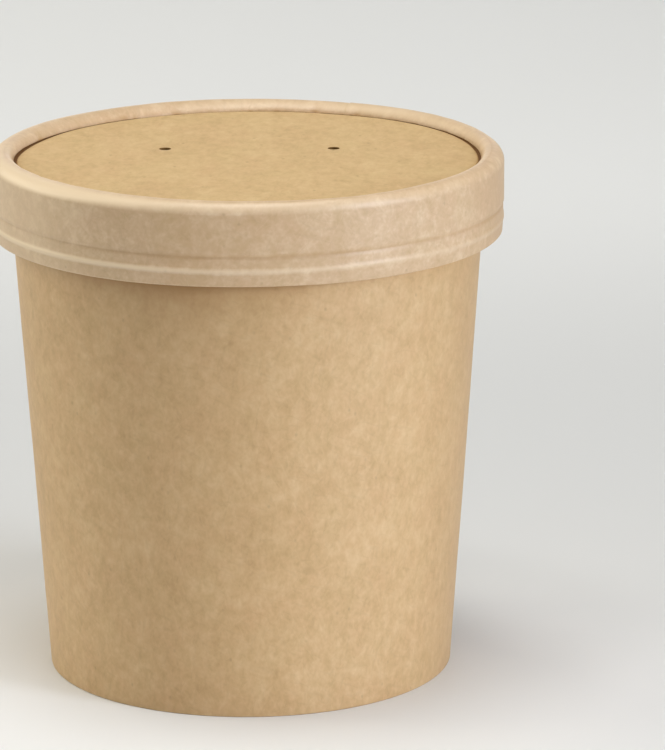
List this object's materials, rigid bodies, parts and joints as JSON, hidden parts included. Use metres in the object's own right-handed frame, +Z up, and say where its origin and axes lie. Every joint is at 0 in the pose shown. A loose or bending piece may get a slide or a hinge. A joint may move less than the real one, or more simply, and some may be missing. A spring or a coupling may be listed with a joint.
{
  "type": "round paper noodle box",
  "caption": "Shut round noodle box of kraft paper: a tapered cup on a raised base, under a paper lid with a rounded bead, a grooved band and a recessed, vented disc.",
  "frame": {"origin": "on the table, under the middle of the cup's foot ring", "axes": "+Z up along the box's own axis; the picture looks along +Y, with +X to its right; the two vents lie towards +Y and the lapped seams are at the back"},
  "size_m": [0.102, 0.102, 0.1053],
  "materials": {
    "cup_kraft": "matt uncoated kraft board, fibres running upright",
    "base_kraft": "matt uncoated kraft board",
    "band_paper": "smooth pale kraft paper with a slight sheen where it is rolled",
    "disc_kraft": "matt yellowish kraft board, flecked"
  },
  "bodies": {
    "root": {"cup_body": "cup_kraft", "cup_base": "base_kraft", "lid_band": "band_paper", "lid_disc": "disc_kraft"}
  },
  "joints": []
}
